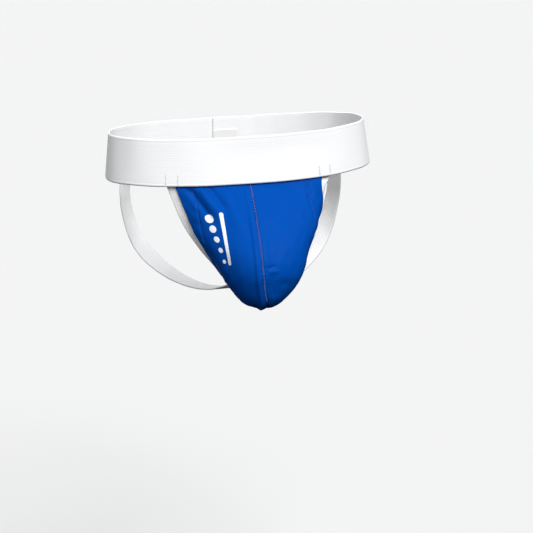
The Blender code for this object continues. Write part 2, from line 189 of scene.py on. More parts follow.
class Finish:
    """Shorthand for a material's nodes: each method adds a node and returns its output."""

    def __init__(self, name, colour, roughness, sheen=0.0, specular=0.5):
        self.material = bpy.data.materials.new(name)
        self.material.use_nodes = True
        self.tree = self.material.node_tree
        self.shader = self.tree.nodes["Principled BSDF"]
        self.shader.inputs["Base Color"].default_value = (*colour, 1)
        self.shader.inputs["Roughness"].default_value = roughness
        self.shader.inputs["Sheen Weight"].default_value = sheen
        self.shader.inputs["Sheen Roughness"].default_value = 0.4
        self.shader.inputs["Specular IOR Level"].default_value = specular

    def node(self, kind, inputs, output, **settings):
        made = self.tree.nodes.new(kind)
        for key, value in settings.items():
            setattr(made, key, value)
        for key, value in inputs.items():
            self.feed(made.inputs[key], value)
        return made.outputs[output]

    def feed(self, socket, value):
        if isinstance(value, bpy.types.NodeSocket):
            self.tree.links.new(value, socket)
        else:
            socket.default_value = value

    def on_cloth(self, scale=(1, 1, 1), turn=0.0):
        """Cloth coordinates in metres, scaled and turned."""
        uv = self.node("ShaderNodeUVMap", {}, "UV", uv_map="cloth")
        return self.node("ShaderNodeMapping", {"Vector": uv, "Scale": scale, "Rotation": (0, 0, turn)}, "Vector")

    def on_object(self, scale=(1, 1, 1)):
        place = self.tree.nodes.new("ShaderNodeTexCoord").outputs["Object"]
        return self.node("ShaderNodeMapping", {"Vector": place, "Scale": scale}, "Vector")

    def wave(self, vector, pitch, way="X", distortion=0.0):
        """Sine bands, pitch metres apart."""
        return self.node("ShaderNodeTexWave", {"Vector": vector, "Scale": math.pi / 10 / pitch,
                                               "Distortion": distortion, "Detail": 0.0}, "Fac",
                         wave_type="BANDS", bands_direction=way)

    def noise(self, vector, scale, detail=2.0):
        return self.node("ShaderNodeTexNoise", {"Vector": vector, "Scale": scale, "Detail": detail}, "Fac")

    def sum(self, first, second, share=1.0):
        """first + share * second"""
        scaled = self.node("ShaderNodeMath", {0: second, 1: share}, "Value", operation="MULTIPLY")
        return self.node("ShaderNodeMath", {0: first, 1: scaled}, "Value", operation="ADD")

    def times(self, first, second):
        return self.node("ShaderNodeMath", {0: first, 1: second}, "Value", operation="MULTIPLY")

    def spread(self, value, low, high, low_to=0.0, high_to=1.0):
        return self.node("ShaderNodeMapRange", {"Value": value, "From Min": low, "From Max": high,
                                                "To Min": low_to, "To Max": high_to}, "Result")

    def mix(self, share, first, second):
        colours = [c if isinstance(c, bpy.types.NodeSocket) else (*c, 1) for c in (first, second)]
        return self.node("ShaderNodeMix", {0: share, 6: colours[0], 7: colours[1]}, 2, data_type="RGBA")

    def colour(self, value):
        self.feed(self.shader.inputs["Base Color"], value)

    def roughness(self, value):
        self.feed(self.shader.inputs["Roughness"], value)

    def relief(self, height, distance, strength=1.0):
        bumped = self.node("ShaderNodeBump", {"Height": height, "Distance": distance,
                                              "Strength": strength}, "Normal")
        self.feed(self.shader.inputs["Normal"], bumped)


def elastic_finish(name, colour, rib, column, shade, depth):
    """Knitted elastic: ribs along the strip, finer columns across it, a little uneven yarn, and painted shade in
    the low places of the relief.
    """
    elastic = Finish(name, colour, 0.75, sheen=0.2, specular=0.3)
    place = elastic.on_cloth()
    ribs = elastic.wave(place, rib, "Y")
    columns = elastic.wave(place, column, "X")
    yarn = elastic.noise(elastic.on_cloth(scale=(260, 1500, 1)), 1.0)
    height = elastic.sum(elastic.sum(ribs, columns, 0.6), yarn, 0.5)
    elastic.relief(height, depth, 0.6)
    # Painted shade: the colour falls to the share shade of itself in the low places of the rib and column
    # relief, and the yarn noise adds its own uneven tone.
    painted_groove_shade = tuple(c * shade for c in colour)
    elastic.colour(elastic.mix(elastic.spread(height, 0.2, 1.2), painted_groove_shade, colour))
    elastic.roughness(elastic.spread(yarn, 0.3, 0.7, 0.70, 0.82))
    return elastic.material


band_angles = np.linspace(math.pi / 2 - BAND_LAP / 2 / loop_half_width,
                          2.5 * math.pi + BAND_LAP / 2 / loop_half_width, 640)[:, None]
band_z = BAND_WIDTH * (0.5 - np.linspace(0, 1, 43))[None, :]
lap_angle = BAND_LAP / 2 / loop_half_width
band_inside = ease((band_angles - 2.5 * math.pi + 3 * lap_angle) / (2 * lap_angle))
band_run = (band_angles - math.pi / 2) * (loop_half_width + loop_front) / 2
from_edge = BAND_WIDTH / 2 - np.abs(band_z)
band_relief = 0.00012 * bump(from_edge - 0.0014, 0.0010) - 0.00020 * bump(from_edge - SELVEDGE, 0.0006)
band_relief = band_relief + (0.00004 * np.cos(2 * math.pi * from_edge / RIB_PITCH)
                             * ease((from_edge - 0.004) / 0.002))
band_relief = band_relief + 0.00020 * soft_noise(band_run / 0.045, band_z / 0.09, 3)
hollow_run = (1.5 * math.pi + 0.22 - math.pi / 2) * (loop_half_width + loop_front) / 2
band_relief = band_relief - 0.0013 * bump(band_run - hollow_run, 0.038) * bump(band_z - 0.006, 0.017)
band_relief = band_relief - 0.0005 * ease(1 - from_edge / 0.0009) ** 2
points = band_point(band_angles, band_z, band_inside * (BAND_THICK + 0.0003) - BAND_THICK / 2 - band_relief)
points[..., 2] += 0.00018 * soft_noise(band_run / 0.05, 0 * band_z, 8)
uv = np.stack(np.broadcast_arrays(band_run, band_z), -1)
band_finish = elastic_finish("band_elastic", BAND_WHITE, RIB_PITCH, 0.0012, 0.965, 0.00007)
waistband = cloth("waistband_knit", points, uv, BAND_THICK, band_finish)
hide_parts("waistband")

# ==== Thread bars ===========================================================================
# Bartacks sew the tops of the tapes to the waistband, and two zigzag rows close its lap at the
# back. Each is white polyester thread, worked to and fro by machine over two laid threads.
BAR_THREAD = 0.00042         # thickness of the thread, and the step of a bartack
BARTACK_SIZE = (0.0017, 0.0100)
JOIN_SIZE = (0.0022, 0.0440)
JOIN_STEP = 0.00110


def thread_finish(name, colour):
    thread = Finish(name, colour, 0.55, sheen=0.15, specular=0.4)
    twist = thread.wave(thread.on_object(scale=(1, 1, 1.6)), 0.00045, "DIAGONAL")
    thread.relief(twist, 0.00005, 0.5)
    # Painted shade: the thread is coloured darker in the grooves of its twist.
    thread.colour(thread.mix(twist, tuple(c * 0.88 for c in colour), colour))
    return thread.material


white_thread = thread_finish("white_thread", (0.88, 0.88, 0.88))


def add_stitch(bm, centre, way, out, length, thick):
    """One stitch: a bead of thread, flattened on to the cloth."""
    way = Vector(way).normalized()
    side = Vector(out).cross(way).normalized()
    out = way.cross(side)
    turn = Matrix((way * length / 2, side * thick / 2, out * thick * 0.42)).transposed().to_4x4()
    bmesh.ops.create_uvsphere(bm, u_segments=6, v_segments=6, radius=1.0,
                              matrix=Matrix.Translation(centre) @ turn @ Matrix.Rotation(math.pi / 2, 4, "Y"))


def add_thread_bar(bm, centre, along, out, length, width, pitch, thick):
    """Crossing stitches over the length of a bar, on two laid threads."""
    side = out.cross(along)
    for i, place in enumerate(np.arange(-length / 2 + thick / 2, length / 2, pitch)):
        lean = along * (pitch * (1 if i % 2 else -1))
        add_stitch(bm, centre + along * place, side * width + lean, out, width * 1.04, thick)
    for offset in (-width / 4, width / 4):
        add_stitch(bm, centre + side * offset, along, out, length, thick)


def bar_on_band(node, name, width, length, pitch, thick):
    low, high = (Vector(corner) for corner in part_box(node))
    middle = (low + high) / 2
    front = middle.y < 0
    rise = BAND_RISE_LEFT if middle.x > 0 else BAND_RISE_RIGHT
    z = middle.z - rise * (middle.x / loop_half_width) ** 2
    angle = angle_at(middle.x, z, front)
    here = Vector(band_point(angle, z, -BAND_THICK / 2 - 0.00012))
    up = (Vector(band_point(angle, z + 0.004)) - Vector(band_point(angle, z - 0.004))).normalized()
    along = (Vector(band_point(angle + 0.01, z)) - Vector(band_point(angle - 0.01, z))).normalized()
    bm = bmesh.new()
    add_thread_bar(bm, here, up, along.cross(up), length, width, pitch, thick)
    piece = finish_piece(name, bm, "supporter", white_thread)
    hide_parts(node)
    return piece


for number in range(1, 5):
    for end in ("front", "rear"):
        bar_on_band(f"{end}_bartack_{number}", f"{end}_bartack_thread_{number}", *BARTACK_SIZE,
                    BAR_THREAD, BAR_THREAD)
for number in range(1, 3):
    bar_on_band(f"back_join_stitch_{number}", f"back_join_thread_{number}", *JOIN_SIZE, JOIN_STEP, BAR_THREAD)

# ==== Care label ============================================================================
# A small blank tab of white woven satin, folded double and caught in the lap of the waistband,
# on its inner face. Its edges are cut hot, so they are slightly hard and raised.
LABEL_DEPTH = BAND_THICK * 1.5 + 0.0008
LABEL_HALF_LENGTH = 0.014
LABEL_HALF_WIDTH = 0.010

label_x = np.linspace(-LABEL_HALF_LENGTH, LABEL_HALF_LENGTH, 57)[:, None]
label_z = np.linspace(LABEL_HALF_WIDTH, -LABEL_HALF_WIDTH, 41)[None, :]
label_rim = np.minimum(LABEL_HALF_LENGTH - np.abs(label_x), LABEL_HALF_WIDTH - np.abs(label_z))
label_curl = 1 - ease((label_z + LABEL_HALF_WIDTH) / 0.008)
label_lift = 0.00012 * bump(label_rim, 0.0005) + 0.0003 * label_curl * (1 + 0.3 * np.sin(label_x / 0.006))
points = band_point(angle_at(label_x, label_z, False), label_z, LABEL_DEPTH + label_lift)
uv = np.stack(np.broadcast_arrays(label_x, label_z), -1)
satin_label = Finish("woven_label", (0.86, 0.86, 0.84), 0.45, sheen=0.1)
label_weave = satin_label.wave(satin_label.on_cloth(turn=0.6), 0.0004)
satin_label.relief(label_weave, 0.00004, 0.6)
# Painted shade: the label is coloured darker in the low lines of its weave.
satin_label.colour(satin_label.mix(label_weave, (0.80, 0.80, 0.78), (0.88, 0.88, 0.86)))
label = cloth("care_label_tab", points, uv, 0.0006, satin_label.material)
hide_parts("care_label")

# ==== Pouch panels ==========================================================================
# Two halves of royal-blue polyester satin, one for each side, joined by a seam down the centre
# that pushes the front into a keel. Their outer edges are hemmed over the leg tapes.
PANEL_THICK = 0.0012
SATIN_BLUE = (0.0004, 0.061, 0.360)
LAYER_GAP = 0.0009
PANEL_DEPTH = BAND_THICK / 2 + LAYER_GAP
BAND_FOOT = -BAND_WIDTH / 2 - 0.0012     # height where the pouch leaves the band's inner face
BLEND_LENGTH = 0.2           # share of the pouch over which it settles on to that face
TUCK = 0.012                 # length of pouch and strap behind the band
TUCK_V = 0.08
PANEL_END = 0.92
TAPE_SHOWS = 0.010           # width of tape left bare beside the panel

# Stations from the band's lower edge down to the crotch.
SEAM_FORWARD = (0.0926, 0.127, 0.152, 0.156, 0.134, 0.054)
SEAM_HEIGHT = (-0.025, -0.059, -0.090, -0.1205, -0.1510, -0.151)
EDGE_ASIDE = (0.0885, 0.073, 0.0555, 0.0360, 0.019, 0.009)
EDGE_FORWARD = (0.0778, 0.082, 0.087, 0.083, 0.067, 0.046)
EDGE_HEIGHT = (-0.0232, -0.067, -0.097, -0.122, -0.140, -0.149)
SEAM_SWAY = (0.0, 0.0, 0.0, 0.0010, 0.0055, 0.0)   # worn seam's drift towards the wearer's left

# How a cross-section leaves its edge and meets the seam: the wearer's left is fuller, and on
# the wearer's right the cloth lies flat beside the leg before it rises over the cup.
SIDES = {"left": 1, "right": -1}
EDGE_FULLNESS = {"left": (0.000, 0.001, 0.004, 0.011, 0.006, 0.000),
                 "right": (-0.020, -0.016, -0.011, -0.004, 0.005, 0.000)}
EDGE_RISE = {"left": (0.30, 0.80, 0.80, 0.80, 0.80, 0.80), "right": (0.30, 0.22, 0.21, 0.22, 0.38, 0.80)}
SEAM_FULLNESS = {"left": (0.050, 0.057, 0.055, 0.054, 0.020, 0.006),
                 "right": (0.050, 0.056, 0.051, 0.046, 0.020, 0.006)}
SEAM_KEEL = {"left": (0.00, 0.16, 0.20, 0.20, 0.20, 0.10), "right": (0.00, 0.20, 0.24, 0.24, 0.22, 0.10)}


def curve(a, b, c, d, t):
    """Smooth way from b (t = 0) to c (t = 1), between the places a before them and d after."""
    return (2 * b + (c - a) * t + (2 * a - 5 * b + 4 * c - d) * t ** 2 + (3 * b - a - 3 * c + d) * t ** 3) / 2


def station(values, v):
    """Smooth curve through equally spaced stations, v from 0 to 1."""
    last = len(values) - 1
    padded_values = np.array([2 * values[0] - values[1], *values, 2 * values[-1] - values[-2]])
    place = np.clip(v, 0, 1) * last
    i = np.clip(np.floor(place), 0, last - 1).astype(int)
    t = place - i
    return curve(*(padded_values[i + k] for k in range(4)), t)


def loft_point(t, v, side):
    """Outer face of the pouch: t from 0 at its edge to 1 at the centre seam."""
    t = t[..., None]
    s = 1 - t
    seam = np.stack([np.zeros_like(v), -station(SEAM_FORWARD, v), station(SEAM_HEIGHT, v)], -1)
    edge = np.stack([station(EDGE_ASIDE, v), -station(EDGE_FORWARD, v), station(EDGE_HEIGHT, v)], -1)
    rise = station(EDGE_RISE[side], v)[..., None] * (seam - edge)
    rise[..., 0] = station(EDGE_FULLNESS[side], v)
    fullness = station(SEAM_FULLNESS[side], v)
    lean = np.stack([fullness, fullness * station(SEAM_KEEL[side], v), np.zeros_like(v)], -1)
    point = s ** 3 * edge + 3 * s * s * t * (edge + rise) + 3 * s * t * t * (seam + lean) + t ** 3 * seam
    point = point * np.array([SIDES[side], 1, 1])
    point[..., 0] += t[..., 0] ** 3 * station(SEAM_SWAY, v)
    return point


def pouch_point(t, v, side):
    """The loft, fitted to the band's inner face at the top and carried up behind it for v < 0."""
    t, v = np.broadcast_arrays(np.asarray(t, float), np.asarray(v, float))
    top = loft_point(t, np.zeros_like(v), side)
    x = top[..., 0]
    height = BAND_FOOT - v * TUCK / TUCK_V
    foot = band_point(angle_at(x, BAND_FOOT, True), BAND_FOOT, PANEL_DEPTH)
    tucked = band_point(angle_at(x, height, True), height, PANEL_DEPTH)
    hanging = loft_point(t, v, side) + (foot - top) * np.maximum(0, 1 - v / BLEND_LENGTH)[..., None] ** 2
    return np.where((v <= 0)[..., None], tucked, hanging)


def pouch_normal(t, v, side):
    step = 0.004
    t = np.clip(t, step, 1 - step)
    across = pouch_point(t + step, v, side) - pouch_point(t - step, v, side)
    down = pouch_point(t, v + step, side) - pouch_point(t, v - step, side)
    return unit(np.cross(across, down)) * SIDES[side]


SECTION_T = np.linspace(0, 1, 90)


def section_runs(v, side):
    """Distance from the pouch's edge at each of SECTION_T, one row for each v."""
    rows = pouch_point(SECTION_T[None, :], v[:, None], side)
    steps = np.linalg.norm(np.diff(rows, axis=1), axis=2)
    return np.concatenate([np.zeros((len(v), 1)), np.cumsum(steps, axis=1)], 1)


def across_pouch(v, distance, side, depth=0.0):
    """Points at distances (rows, columns) from the edge, on the sections v, sunk by depth."""
    runs = section_runs(v, side)
    t = np.stack([np.interp(d, run, SECTION_T) for d, run in zip(distance, runs)])
    v = np.broadcast_to(v[:, None], t.shape)
    return pouch_point(t, v, side) - pouch_normal(t, v, side) * depth


def tape_shows(v):
    """The bare width of tape narrows towards the crotch, where the panels close over it."""
    return TAPE_SHOWS * (1 - 0.5 * np.clip((v - 0.75) / 0.2, 0, 1))


def hem_width(along, side):
    """The stitched hem, broader on the wearer's left and narrowing down the wearer's right."""
    if side == "left":
        return 0.0185 + 0.0040 * ease(along / 0.05) - 0.0110 * ease((along - 0.07) / 0.08)
    return 0.0170 - 0.0070 * ease(along / 0.09)


def fold(from_seam, along, start, end, width):
    """Ridge of height 1 along a line from start to end, dying out at both of its ends."""
    start, end = np.array(start), np.array(end)
    length = np.linalg.norm(end - start)
    way = (end - start) / length
    a, b = from_seam - start[0], along - start[1]
    place = (a * way[0] + b * way[1]) / length
    off = a * way[1] - b * way[0]
    return bump(off, width) * ease((place + 0.15) / 0.35) * ease((1.15 - place) / 0.45)


# Folds of the wearer's right panel and left panel: start, end, width, height in metres, where a
# place is (distance from the seam, distance down from the waistband).
RIGHT_FOLDS = (
    ((0.068, -0.004), (0.046, 0.042), 0.0042, -0.0026),
    ((0.057, -0.004), (0.037, 0.036), 0.0046, 0.0021),
    ((0.045, -0.004), (0.031, 0.027), 0.0034, -0.0021),
    ((0.030, 0.000), (0.016, 0.060), 0.0055, 0.0012),
    ((0.052, 0.062), (0.030, 0.110), 0.0060, -0.0006),
)
LEFT_FOLDS = (
    ((0.0050, 0.0960), (0.0130, 0.0945), 0.0016, -0.0009),
    ((0.0050, 0.1000), (0.0180, 0.1000), 0.0026, 0.0009),
    ((0.060, 0.000), (0.066, 0.030), 0.0040, -0.0005),
    ((0.070, 0.004), (0.056, 0.022), 0.0028, 0.0005),
    ((0.020, 0.110), (0.036, 0.128), 0.0050, -0.0006),
)


def panel_relief(from_edge, from_seam, along, v, hem, folds, ridge, seed):
    """Height of the worn cloth over its smooth shape: hem, seam, folds and puckers."""
    height = 0.00028 * ease((hem - from_edge) / 0.0012) - 0.00075 * bump(from_edge - hem, 0.0011)
    height = height - 0.0006 * ease(1 - from_edge / 0.0012) ** 2
    pucker = soft_noise(along / 0.0085, from_edge / 0.05, seed) * bump(from_edge - hem, 0.0035)
    flutter = soft_noise(along / 0.016, from_edge / 0.02, seed + 1) * bump(from_edge, 0.018)
    height = height + 0.00017 * pucker + 0.00022 * flutter
    height = height - 0.00100 * bump(from_seam, 0.0013)
    height = height + ridge * bump(from_seam - 0.0056, 0.0024) * (0.35 + 0.65 * ease((v - 0.05) / 0.35))
    height = height + 0.00010 * np.sin(2 * math.pi * along / 0.0046) * bump(from_seam - 0.002, 0.0035)
    height = height + 0.00042 * soft_noise(from_seam / 0.045, along / 0.060, seed + 2)
    height = height + 0.00012 * soft_noise(from_seam / 0.014, along / 0.020, seed + 3)
    for start, end, width, size in folds:
        height = height + size * fold(from_seam, along, start, end, width)
    clear = 0.0010 + 0.01 * np.minimum(ease((from_edge - 0.0108) / 0.007),
                                       ease((from_seam - 0.005) / 0.005))
    return np.maximum(height, -clear) * ease((v + 0.01) / 0.035)


class Panel:
    """One worn half of the pouch: its grid of points, and where a stitch or a print lies on it."""

    def __init__(self, side, folds, ridge, seed):
        self.v = np.linspace(-TUCK_V, PANEL_END, 230)
        self.length = section_runs(self.v, side)[:, -1]
        self.start = tape_shows(self.v)
        self.stop = self.length - 0.0001
        share = np.linspace(0, 1, 130)
        distance = self.start[:, None] + (self.stop - self.start)[:, None] * share
        smooth = across_pouch(self.v, distance, side)
        run = run_along(smooth)
        self.along = run - np.interp(0, self.v, run)
        from_seam = self.length[:, None] - distance
        along = np.broadcast_to(self.along[:, None], distance.shape)
        relief = panel_relief(distance - self.start[:, None], from_seam, along, self.v[:, None],
                              hem_width(along, side), folds, ridge, seed)
        self.points = smooth + grid_normals(smooth) * SIDES[side] * relief[..., None]
        self.normals = grid_normals(self.points) * SIDES[side]
        self.uv = np.stack([from_seam * SIDES[side], along], -1)

    def on(self, from_seam, along, lift):
        """Points at a distance from the seam and down from the waistband, lifted off the cloth."""
        row = np.interp(along, self.along, np.arange(len(self.v)))
        length, start, stop = (np.interp(along, self.along, values)
                               for values in (self.length, self.start, self.stop))
        column = (length - from_seam - start) / (stop - start) * (self.points.shape[1] - 1)
        row, column = np.broadcast_arrays(np.clip(row, 0, len(self.v) - 1.001),
                                          np.clip(column, 0, self.points.shape[1] - 1.001))
        i, j = row.astype(int), column.astype(int)
        f, g = (row - i)[..., None], (column - j)[..., None]
        found = []
        for values in (self.points, self.normals):
            upper = values[i, j] * (1 - g) + values[i, j + 1] * g
            lower = values[i + 1, j] * (1 - g) + values[i + 1, j + 1] * g
            found.append(upper * (1 - f) + lower * f)
        return found[0] + unit(found[1]) * lift, unit(found[1])


def satin_finish():
    """Blue satin: a fine twill painted lighter on its ridges and darker in its hollows, threads that catch the
    light unevenly, and painted shade along the centre seam's furrow.
    """
    satin = Finish("royal_blue_satin", SATIN_BLUE, 0.45, sheen=0.0, specular=0.015)
    twill = satin.wave(satin.on_cloth(turn=math.radians(38)), 0.00105)
    cross = satin.wave(satin.on_cloth(turn=math.radians(-80)), 0.0023, distortion=1.2)
    thread = satin.noise(satin.on_cloth(scale=(1800, 260, 1)), 1.0)
    cloud = satin.noise(satin.on_cloth(scale=(45, 30, 1)), 1.0, detail=3.0)
    height = satin.sum(satin.sum(twill, cross, 0.55), thread, 0.6)
    satin.relief(height, 0.00007, 0.5)
    # Painted light and shade: the twill is coloured darker in its hollows and lighter on its ridges.
    painted_shade_blue = tuple(c * 0.80 for c in SATIN_BLUE)
    painted_light_blue = (SATIN_BLUE[0] * 1.1, SATIN_BLUE[1] * 1.12, SATIN_BLUE[2] * 1.06)
    twill_light_and_shade = satin.mix(satin.spread(height, 0.3, 1.5), painted_shade_blue, painted_light_blue)
    cloudy = satin.mix(satin.spread(cloud, 0.35, 0.7, 0.0, 0.35), twill_light_and_shade, tuple(c * 0.86 for c in SATIN_BLUE))
    across = satin.node("ShaderNodeSeparateXYZ", {"Vector": satin.on_cloth()}, "X")
    from_seam = satin.node("ShaderNodeMath", {0: across}, "Value", operation="ABSOLUTE")
    # Painted shade: the satin is coloured much darker within about 2 mm of the centre seam, for the shade in the
    # seam's furrow.
    painted_seam_shade = tuple(c * 0.45 for c in SATIN_BLUE)
    satin.colour(satin.mix(satin.spread(from_seam, 0.0006, 0.0019), painted_seam_shade, cloudy))
    satin.roughness(satin.spread(thread, 0.3, 0.7, 0.36, 0.50))
    return satin.material


satin_blue = satin_finish()
panels = {"left": Panel("left", LEFT_FOLDS, 0.00035, 11), "right": Panel("right", RIGHT_FOLDS, 0.0018, 21)}
for side, panel in panels.items():
    piece = cloth(f"pouch_panel_{side}_satin", panel.points, panel.uv, PANEL_THICK * 0.6, satin_blue,
                  flip=side == "right")
    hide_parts(f"pouch_panel_{side}")

# ==== Print =================================================================================
# A plain generic ornament in white ink on the wearer's right panel: a bar with five dots that
# shrink towards the crotch. It is a thin rubbery screen print, so it follows every fold.
PRINT_THICK = 0.00010
BAR_FROM_SEAM = 0.0370
BAR_ALONG = (0.031, 0.089)
BAR_HALF_WIDTH = 0.0021
DOT_ALONG = 0.0365
DOT_STEP = 0.0122
DOT_RADIUS = 0.0050
DOT_SHRINK = 0.14
DOT_FROM_SEAM = 0.0510
DOT_DRIFT = 0.0014

ink = Finish("white_print_ink", (0.83, 0.86, 0.92), 0.5, specular=0.3)
ink_grain = ink.noise(ink.on_object(), 900.0, 3.0)
ink.relief(ink_grain, 0.00004, 0.5)
ink.colour(ink.mix(ink.spread(ink_grain, 0.35, 0.6), (0.70, 0.75, 0.86), (0.86, 0.88, 0.93)))


def printed(name, centre_a, centre_b, half_a, half_b, bow=0.0):
    """A rounded patch of ink on the right panel: half_a across and half_b down, bow its slant."""
    a, b = np.meshgrid(np.linspace(-1, 1, 25), np.linspace(-1, 1, 25 if half_b < 3 * half_a else 121))
    if half_b < 3 * half_a:
        a, b = a * np.sqrt(1 - b * b / 2), b * np.sqrt(1 - a * a / 2)
    else:
        over = np.clip((np.abs(b) * half_b - (half_b - half_a)) / half_a, 0, 1)
        a = a * np.maximum(np.sqrt(1 - over ** 2), 0.02)
    points, _ = panels["right"].on(centre_a + a * half_a + bow * b, centre_b + b * half_b,
                                   PRINT_THICK + 0.0001)
    uv = np.stack([a * half_a, b * half_b], -1)
    piece = cloth(name, points[:, ::-1], uv[:, ::-1], PRINT_THICK, ink.material, flip=True)
    piece.data.shade_flat()


printed("print_bar", BAR_FROM_SEAM, sum(BAR_ALONG) / 2, BAR_HALF_WIDTH,
        (BAR_ALONG[1] - BAR_ALONG[0]) / 2, 0.001)
for number in range(5):
    radius = DOT_RADIUS * (1 - DOT_SHRINK * number)
    printed(f"print_dot_{number + 1}", DOT_FROM_SEAM - DOT_DRIFT * number,
            DOT_ALONG + DOT_STEP * number, radius, radius)

# ==== Seam and hem stitching ================================================================
# Thread rows on the pouch: pale lilac overlock crossing the centre seam, and blue lockstitch
# along each hem. Every stitch is a separate bead of thread.
SEAM_PITCH = 0.0021
SEAM_STITCH = (0.0025, 0.00052)         # length and thickness
HEM_PITCH = 0.0026
HEM_STITCH = (0.0021, 0.00040)

lilac_thread = thread_finish("lilac_thread", (0.20, 0.28, 0.80))
blue_thread = thread_finish("blue_thread", (0.003, 0.055, 0.36))


def stitch_row(name, path, out, pitch, length, thick, material, slot, turn=0.0, zigzag=False, cover=0.0):
    """Stitches at even steps along a path, turned by an angle from it."""
    run = np.concatenate([[0], np.cumsum(np.linalg.norm(np.diff(path, axis=0), axis=1))])
    places = np.arange(pitch / 2, run[-1], pitch)
    centres = np.stack([np.interp(places, run, path[:, k]) for k in range(3)], -1)
    outs = unit(np.stack([np.interp(places, run, out[:, k]) for k in range(3)], -1))
    ways = unit(np.gradient(centres, axis=0))
    bm = bmesh.new()
    for i, (centre, way, up) in enumerate(zip(centres, ways, outs)):
        side = np.cross(up, way)
        angle = -turn if zigzag and i % 2 else turn
        lean = way * math.cos(angle) + side * math.sin(angle)
        add_stitch(bm, Vector(centre + up * cover), lean, Vector(up), length, thick)
    return finish_piece(name, bm, "supporter", material)


along = np.linspace(0.0006, panels["left"].along[-1] - 0.004, 400)
left_edge, left_out = panels["left"].on(0.0001, along, 0.0)
right_edge, right_out = panels["right"].on(0.0001, along, 0.0)
stitch_row("centre_seam_thread", (left_edge + right_edge) / 2, unit(left_out + right_out), SEAM_PITCH,
           *SEAM_STITCH, lilac_thread, "satin_blue", turn=math.radians(62), cover=0.00022)
for side, panel in panels.items():
    start = np.interp(along, panel.along, panel.start)
    length = np.interp(along, panel.along, panel.length)
    hem_path, hem_out = panel.on(length - start - hem_width(along, side), along, 0.00012)
    stitch_row(f"hem_thread_{side}", hem_path, hem_out, HEM_PITCH, *HEM_STITCH, blue_thread, "satin_blue")

# ==== Centre seam tape ======================================================================
# A narrow white tape inside the pouch that covers the raw edges of the centre seam. It is made
# 8 mm wide here, and declared as 10 mm, the least that a sheet may be.
tape_v = np.linspace(0, PANEL_END, 120)
halves = []
for side in SIDES:
    tape_runs = section_runs(tape_v, side)[:, -1:]
    places = tape_runs - np.linspace(0.0040, 0.0002, 7)[None, :]
    halves.append(across_pouch(tape_v, places, side, PANEL_THICK + LAYER_GAP))
middle = (halves[0][:, -1:] + halves[1][:, -1:]) / 2
points = np.concatenate([halves[0][:, :-1], middle, halves[1][:, -2::-1]], axis=1)
aside = np.linspace(-0.004, 0.004, 13)[None, :]
uv = np.stack(np.broadcast_arrays(aside, run_along(points)[:, None]), -1)
tape_finish = elastic_finish("woven_tape", (0.86, 0.86, 0.865), 0.0016, 0.0010, 0.86, 0.00014)
seam_tape = cloth("pouch_seam_tape_woven", points, uv, 0.0006, tape_finish)
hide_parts("pouch_seam_tape")

# ==== Leg elastics ==========================================================================
# Two 20 mm woven elastic tapes. Each binds an edge of the pouch, turns on its side at the
# crotch, runs back under the leg, and is bartacked inside the waistband beside the hip.
TAPE_WIDTH = 0.020
TAPE_THICK = 0.0014
TAPE_DEPTH = PANEL_THICK + LAYER_GAP
TAPE_ON_POUCH_END = 0.84
TAPE_RIB = 0.0021
TAPE_COLUMNS = 19
TAPE_ROWS = 160
STRAP_END_X = 0.1200
STRAP_END_HALF = 0.0068
STRAP_ROUTE = (
    ((0.0140, -0.0540, -0.1408), (-0.40, -0.91, -0.05)),
    ((0.0170, -0.0330, -0.1478), (-0.86, -0.42, -0.04)),
    ((0.0330, -0.0060, -0.1545), (-0.90, 0.40, 0.00)),
    ((0.0580, 0.0290, -0.1535), (-0.80, 0.58, 0.05)),
    ((0.0860, 0.0570, -0.1380), (-0.66, 0.62, 0.28)),
    ((0.1080, 0.0730, -0.1130), (-0.52, 0.58, 0.60)),
    ((0.1190, 0.0760, -0.0820), (-0.58, 0.72, 0.26)),
    ((0.1220, 0.0690, -0.0520), (-0.60, 0.80, 0.06)),
)


def strap_grid(side):
    """Tape from behind the band's front to behind its back: rows at even steps, and its length."""
    across = np.linspace(0, 1, TAPE_COLUMNS)
    on_v = np.linspace(-TUCK_V, TAPE_ON_POUCH_END, TAPE_ROWS)
    places_across = np.broadcast_to(across * TAPE_WIDTH, (TAPE_ROWS, TAPE_COLUMNS))
    rows = list(across_pouch(on_v, places_across, side, TAPE_DEPTH))
    near = across_pouch(np.array([0.72, TAPE_ON_POUCH_END]), np.array([[0, TAPE_WIDTH]] * 2), side,
                        TAPE_DEPTH)
    mirror = np.array([SIDES[side], 1, 1])
    lines = [near[0], near[1]]
    for centre, way in STRAP_ROUTE:
        reach = unit(np.array(way)) * TAPE_WIDTH / 2
        lines.append(np.stack([centre - reach, centre + reach]) * mirror)
    for z in (-BAND_WIDTH / 2, -BAND_WIDTH / 2 + TUCK):
        ends = np.array([STRAP_END_X + STRAP_END_HALF, STRAP_END_X - STRAP_END_HALF])
        lines.append(band_point(angle_at(ends * SIDES[side], z, False), z, PANEL_DEPTH))
    lines.append(lines[-1])
    for a, b, c, d in zip(lines, lines[1:], lines[2:], lines[3:]):
        for t in np.linspace(0, 1, 25)[1:]:
            ends = curve(a, b, c, d, t)
            reach = unit(ends[1] - ends[0]) * TAPE_WIDTH / 2
            rows.append(ends.mean(axis=0) + reach * (across[:, None] * 2 - 1))
    rows = np.array(rows)
    run = run_along(rows)
    places = np.linspace(0, run[-1], int(run[-1] / 0.0005))
    flat_rows = rows.reshape(len(rows), -1)
    even = np.stack([np.interp(places, run, column) for column in flat_rows.T], -1)
    return even.reshape(len(places), TAPE_COLUMNS, 3), places


